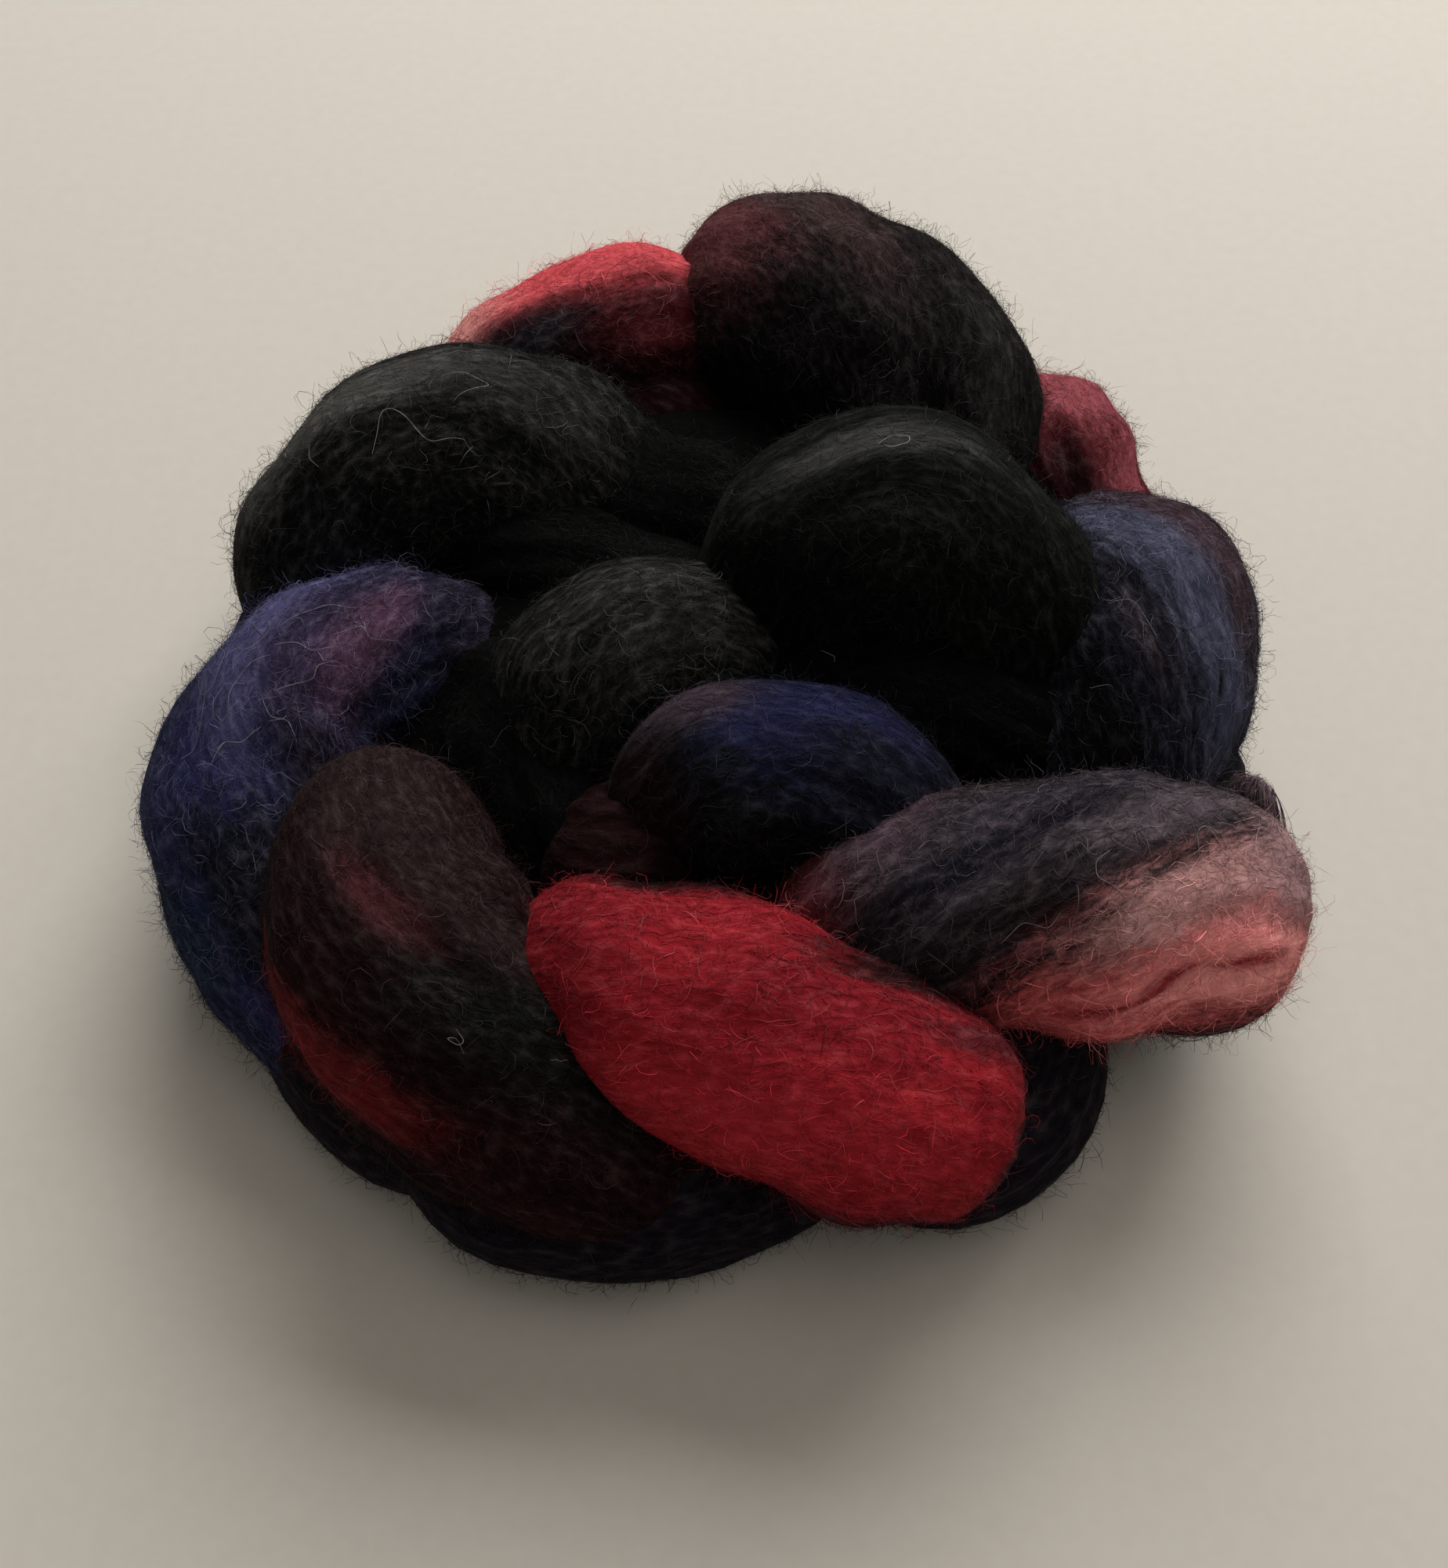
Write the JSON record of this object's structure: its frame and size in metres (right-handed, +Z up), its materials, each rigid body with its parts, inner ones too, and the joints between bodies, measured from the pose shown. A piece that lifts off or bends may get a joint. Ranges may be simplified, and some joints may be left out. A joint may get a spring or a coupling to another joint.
{
  "type": "wool roving",
  "caption": "Length of hand-dyed combed wool top, looped into a thick chain and coiled into a round, flat-bottomed bun of fat overlapping folds.",
  "frame": {"origin": "middle of the bun's footprint, on the surface that it rests on", "axes": "+Z up through the bun, -Y towards the front, +X to the right"},
  "size_m": [0.1952, 0.2228, 0.0628],
  "materials": {
    "wool": "soft matt combed wool, dyed in black, navy, blue-grey, red and salmon"
  },
  "bodies": {
    "root": {"wool_roving": "wool"}
  },
  "joints": []
}
